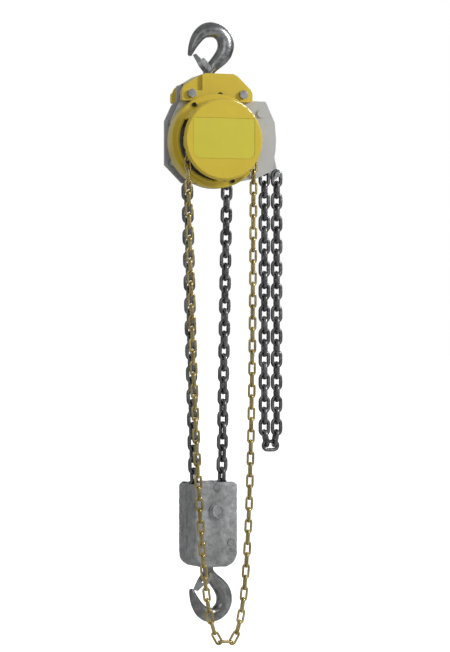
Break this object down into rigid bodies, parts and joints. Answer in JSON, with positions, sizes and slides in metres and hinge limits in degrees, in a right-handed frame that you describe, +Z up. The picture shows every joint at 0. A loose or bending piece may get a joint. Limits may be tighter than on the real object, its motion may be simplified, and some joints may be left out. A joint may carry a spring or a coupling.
{
  "type": "chain hoist",
  "caption": "Manual chain hoist with top hook, yellow hand-wheel cover, two falls of load chain, a bottom block with a swivel hook and a hand chain loop.",
  "frame": {"origin": "saddle of the top hook, where it sits on its support", "axes": "+Z up, +X to the right seen from the hand-wheel side, +Y to the back; the load chain hangs in the plane y = 0"},
  "size_m": [0.2635, 0.17, 1.2989],
  "materials": {
    "yellow_paint": "gloss yellow enamel",
    "label_yellow": "plain bright yellow plate",
    "grey_paint": "satin light grey",
    "cast_iron": "rough grey casting",
    "forged_steel": "dark oiled forging",
    "chain_steel": "dark hardened chain",
    "gold_zinc": "gold passivated zinc on steel",
    "zinc_steel": "zinc plated",
    "black_steel": "black oxide",
    "machined_steel": "machined",
    "spring_steel": "spring wire",
    "friction_lining": "brake lining",
    "bronze": "sintered bronze"
  },
  "bodies": {
    "frame": {"front_frame_plate": "grey_paint", "rear_frame_plate": "grey_paint", "frame_spacers": "zinc_steel", "frame_bolts": "zinc_steel", "yoke_front": "yellow_paint", "yoke_rear": "yellow_paint", "yoke_bolts": "zinc_steel", "yoke_screws": "black_steel", "sheave_bearings": "machined_steel", "idler_pin": "grey_paint", "chain_stripper": "cast_iron", "chain_end_pins": "zinc_steel", "tail_anchor": "grey_paint", "gear_cover": "grey_paint", "gear_cover_screws": "zinc_steel", "gear_pins": "zinc_steel", "hand_wheel_cover": "yellow_paint", "cover_label_plate": "label_yellow", "cover_screws": "black_steel", "pawl_pins": "zinc_steel", "pawl_springs": "spring_steel", "load_chain_on_sheaves": "chain_steel", "load_chain_end_links": "chain_steel", "hand_chain_on_wheel": "gold_zinc"},
    "top_hook_swivel": {"top_hook": "forged_steel", "top_hook_nut": "forged_steel", "top_thrust_bearing": "machined_steel", "top_latch_pin": "zinc_steel", "top_latch_spring": "spring_steel"},
    "top_latch_flap": {"top_latch": "zinc_steel"},
    "sheave_drive": {"load_sheave": "cast_iron", "load_gear": "machined_steel"},
    "gear_left": {"intermediate_gear_left": "machined_steel"},
    "gear_right": {"intermediate_gear_right": "machined_steel"},
    "hand_drive": {"pinion_shaft": "machined_steel", "brake_hub": "machined_steel", "friction_discs": "friction_lining", "hand_wheel": "cast_iron", "hand_wheel_nut": "zinc_steel"},
    "ratchet": {"ratchet_disc": "machined_steel"},
    "pawl_a": {"pawl_upper": "black_steel"},
    "pawl_b": {"pawl_lower": "black_steel"},
    "idler": {"idler_sheave": "cast_iron"},
    "slack_chain": {"load_chain_slack_loop": "chain_steel"},
    "load_line": {"load_chain_falls": "chain_steel", "load_chain_block_wrap": "chain_steel", "block_front_shell": "cast_iron", "block_rear_shell": "cast_iron", "block_bolts": "zinc_steel", "block_axle": "zinc_steel", "block_axle_nuts": "zinc_steel"},
    "block_wheel": {"block_sheave": "cast_iron", "block_bushing": "bronze"},
    "bottom_hook_swivel": {"bottom_hook": "forged_steel", "bottom_hook_nut": "forged_steel", "bottom_thrust_bearing": "machined_steel", "bottom_latch_pin": "zinc_steel", "bottom_latch_spring": "spring_steel"},
    "bottom_latch_flap": {"bottom_latch": "zinc_steel"},
    "hand_chain": {"hand_chain_loop": "gold_zinc"}
  },
  "joints": [
    {"name": "top_hook_turn", "type": "hinge", "parent": "frame", "child": "top_hook_swivel", "pos_m": [0, 0, -0.09], "axis": [0, 0, 1], "continuous": true},
    {"name": "top_latch_open", "type": "hinge", "parent": "top_hook_swivel", "child": "top_latch_flap", "pos_m": [-0.003, 0, -0.067], "axis": [0, 1, 0], "range_deg": [0, 30], "stiffness_Nm_per_rad": 0.05, "springref_deg": -17.19},
    {"name": "sheave_turn", "type": "hinge", "parent": "frame", "child": "sheave_drive", "pos_m": [0, 0, -0.222], "axis": [0, 1, 0], "continuous": true},
    {"name": "gear_left_turn", "type": "hinge", "parent": "frame", "child": "gear_left", "pos_m": [-0.04, 0, -0.222], "axis": [0, 1, 0], "continuous": true},
    {"name": "gear_right_turn", "type": "hinge", "parent": "frame", "child": "gear_right", "pos_m": [0.04, 0, -0.222], "axis": [0, 1, 0], "continuous": true},
    {"name": "hand_wheel_turn", "type": "hinge", "parent": "frame", "child": "hand_drive", "pos_m": [0, 0, -0.222], "axis": [0, 1, 0], "continuous": true},
    {"name": "ratchet_turn", "type": "hinge", "parent": "frame", "child": "ratchet", "pos_m": [0, 0, -0.222], "axis": [0, 1, 0], "continuous": true},
    {"name": "pawl_upper_lift", "type": "hinge", "parent": "frame", "child": "pawl_a", "pos_m": [-0.03799, 0, -0.18456], "axis": [0, -1, 0], "range_deg": [0, 12], "stiffness_Nm_per_rad": 0.02, "springref_deg": -17.19},
    {"name": "pawl_lower_lift", "type": "hinge", "parent": "frame", "child": "pawl_b", "pos_m": [0.03799, 0, -0.25944], "axis": [0, -1, 0], "range_deg": [0, 12], "stiffness_Nm_per_rad": 0.02, "springref_deg": -17.19},
    {"name": "idler_turn", "type": "hinge", "parent": "frame", "child": "idler", "pos_m": [0.0915, 0, -0.231], "axis": [0, 1, 0], "continuous": true},
    {"name": "slack_chain_swing", "type": "hinge", "parent": "frame", "child": "slack_chain", "pos_m": [0.1385, 0, -0.3094], "axis": [1, 0, 0], "range_deg": [-10, 10]},
    {"name": "load_line_swing", "type": "hinge", "parent": "frame", "child": "load_line", "pos_m": [0, 0, -0.2932], "axis": [1, 0, 0], "range_deg": [-0.5, 10]},
    {"name": "block_sheave_turn", "type": "hinge", "parent": "load_line", "child": "block_wheel", "pos_m": [0, 0, -0.992], "axis": [-0.2079, 0.9781, 0], "continuous": true},
    {"name": "bottom_hook_turn", "type": "hinge", "parent": "load_line", "child": "bottom_hook_swivel", "pos_m": [0, 0, -1.1], "axis": [0, 0, 1], "continuous": true},
    {"name": "bottom_latch_open", "type": "hinge", "parent": "bottom_hook_swivel", "child": "bottom_latch_flap", "pos_m": [-0.00293, -0.00062, -1.129], "axis": [0.2079, -0.9781, 0], "range_deg": [0, 30], "stiffness_Nm_per_rad": 0.05, "springref_deg": -17.19},
    {"name": "hand_chain_swing", "type": "hinge", "parent": "frame", "child": "hand_chain", "pos_m": [0, -0.086, -0.2874], "axis": [1, 0, 0], "range_deg": [-12, 1]}
  ],
  "couplings": [
    {"joint": "gear_left_turn", "follows": "sheave_turn", "ratio": -2.3333},
    {"joint": "gear_right_turn", "follows": "sheave_turn", "ratio": -2.3333},
    {"joint": "hand_wheel_turn", "follows": "sheave_turn", "ratio": 5.4444},
    {"joint": "block_sheave_turn", "follows": "sheave_turn", "ratio": 0.72656},
    {"joint": "idler_turn", "follows": "sheave_turn", "ratio": 1.3881}
  ]
}
